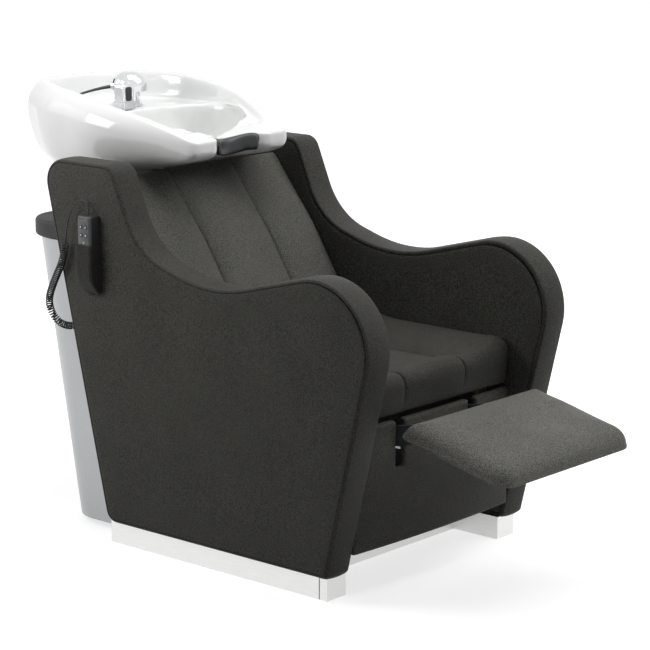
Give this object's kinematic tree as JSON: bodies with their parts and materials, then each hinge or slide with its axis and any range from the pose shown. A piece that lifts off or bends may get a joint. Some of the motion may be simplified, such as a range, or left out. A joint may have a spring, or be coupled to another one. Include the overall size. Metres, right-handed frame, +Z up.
{
  "type": "backwash unit",
  "caption": "Reclined salon shampoo chair with channelled upholstery, curved side panels, a powered footrest, a tilting ceramic basin with mixer and a wired handset.",
  "frame": {"origin": "on the floor midway between the plinths, at the centre of the floor anchors", "axes": "+Z up, front of the chair towards -Y, sitter's left towards +X"},
  "size_m": [0.6979, 1.4717, 0.9923],
  "materials": {
    "plinth_metal": "light satin metal",
    "frame_steel": "black powder coat, semi-matt",
    "screw_steel": "zinc plated",
    "band_leather": "dark leatherette, fine grain, piped edges",
    "side_leather": "dark leatherette, fine grain",
    "seat_leather": "dark leatherette, fine grain, sewn channels",
    "pocket_leather": "dark leatherette, stitched",
    "board_wood": "raw plywood",
    "bright_steel": "ground bright",
    "dark_plastic": "matt",
    "shelf_plastic": "fine texture",
    "cover_silver": "silver lacquer, satin",
    "basin_ceramic": "white gloss glaze",
    "neck_rubber": "soft, matt",
    "tap_chrome": "polished",
    "lever_dark": "dark satin",
    "pipe_plastic": "pale grey",
    "handset_plastic": "fine texture",
    "button_plastic": "light grey",
    "lamp_plastic": "translucent green",
    "cord_rubber": "smooth"
  },
  "bodies": {
    "frame": {"left_plinth": "plinth_metal", "right_plinth": "plinth_metal", "kick_plate": "plinth_metal", "floor_rails": "frame_steel", "rear_frame": "frame_steel", "cover_stays": "frame_steel", "cover_screws": "screw_steel", "cleat_bolts": "screw_steel", "left_edge_band": "band_leather", "right_edge_band": "band_leather", "left_outer_pad": "side_leather", "right_outer_pad": "side_leather", "left_inner_pad": "side_leather", "right_inner_pad": "side_leather", "panel_cores": "board_wood", "seat_cleats": "board_wood", "back_cleats": "board_wood", "seat_board": "board_wood", "back_board": "board_wood", "seat_cushion": "seat_leather", "back_cushion": "seat_leather", "front_skirt": "seat_leather", "pivot_brackets": "frame_steel", "actuator_housing": "dark_plastic", "actuator_motor": "dark_plastic", "actuator_beam": "frame_steel", "control_box": "dark_plastic", "rear_shelf": "shelf_plastic", "rear_cover": "cover_silver", "basin_pedestal": "frame_steel", "waste_pipe": "pipe_plastic", "handset_pocket": "pocket_leather", "cord_gland": "cord_rubber", "handset_lead": "cord_rubber", "curly_cord": "cord_rubber"},
    "footrest": {"footrest_board": "board_wood", "footrest_cushion": "seat_leather", "footrest_arms": "frame_steel", "footrest_shaft": "frame_steel", "footrest_crank": "frame_steel"},
    "actuator_rod": {"actuator_rod": "bright_steel"},
    "basin": {"basin": "basin_ceramic", "neck_rest": "neck_rubber", "basin_saddle": "frame_steel", "tilt_shaft": "bright_steel", "waste_fitting": "tap_chrome", "waste_nut": "pipe_plastic", "mixer_body": "tap_chrome", "shower_dock": "tap_chrome"},
    "mixer_cap": {"mixer_cap": "tap_chrome"},
    "mixer_lever": {"mixer_lever": "lever_dark"},
    "hand_shower": {"hand_shower": "tap_chrome", "spray_plate": "lever_dark"},
    "handset": {"handset_shell": "handset_plastic", "handset_base": "handset_plastic", "handset_lamp": "lamp_plastic"},
    "button_1": {"handset_button_1": "button_plastic"},
    "button_2": {"handset_button_2": "button_plastic"},
    "button_3": {"handset_button_3": "button_plastic"},
    "button_4": {"handset_button_4": "button_plastic"}
  },
  "joints": [
    {"name": "footrest_tilt", "type": "hinge", "parent": "frame", "child": "footrest", "pos_m": [0, -0.2925, 0.305], "axis": [1, 0, 0], "range_deg": [0, 41]},
    {"name": "actuator_stroke", "type": "slide", "parent": "frame", "child": "actuator_rod", "axis": [0, 1, 0], "range_m": [0, 0.0351]},
    {"name": "basin_tilt", "type": "hinge", "parent": "frame", "child": "basin", "pos_m": [0, 0.528, 0.72], "axis": [1, 0, 0], "range_deg": [-10, 0]},
    {"name": "mixer_turn", "type": "hinge", "parent": "basin", "child": "mixer_cap", "pos_m": [0.015, 0.575, 0.96], "axis": [0, 0, 1], "range_deg": [-35, 35]},
    {"name": "lever_lift", "type": "hinge", "parent": "mixer_cap", "child": "mixer_lever", "pos_m": [-0.00712, 0.59049, 0.961], "axis": [0.5736, 0.8192, 0], "range_deg": [0, 20]},
    {"name": "shower_pull", "type": "slide", "parent": "basin", "child": "hand_shower", "axis": [0, 0, 1], "range_m": [0, 0.12]},
    {"name": "handset_lift", "type": "slide", "parent": "frame", "child": "handset", "axis": [0, 0, 1], "range_m": [0, 0.11], "deforming": ["handset_lead"]},
    {"name": "button_1_press", "type": "slide", "parent": "handset", "child": "button_1", "axis": [1, 0, 0], "range_m": [0, 0.0009], "stiffness_N_per_m": 600},
    {"name": "button_2_press", "type": "slide", "parent": "handset", "child": "button_2", "axis": [1, 0, 0], "range_m": [0, 0.0009], "stiffness_N_per_m": 600},
    {"name": "button_3_press", "type": "slide", "parent": "handset", "child": "button_3", "axis": [1, 0, 0], "range_m": [0, 0.0009], "stiffness_N_per_m": 600},
    {"name": "button_4_press", "type": "slide", "parent": "handset", "child": "button_4", "axis": [1, 0, 0], "range_m": [0, 0.0009], "stiffness_N_per_m": 600}
  ],
  "couplings": [
    {"joint": "actuator_stroke", "follows": "footrest_tilt", "m_per_rad": 0.04894}
  ]
}
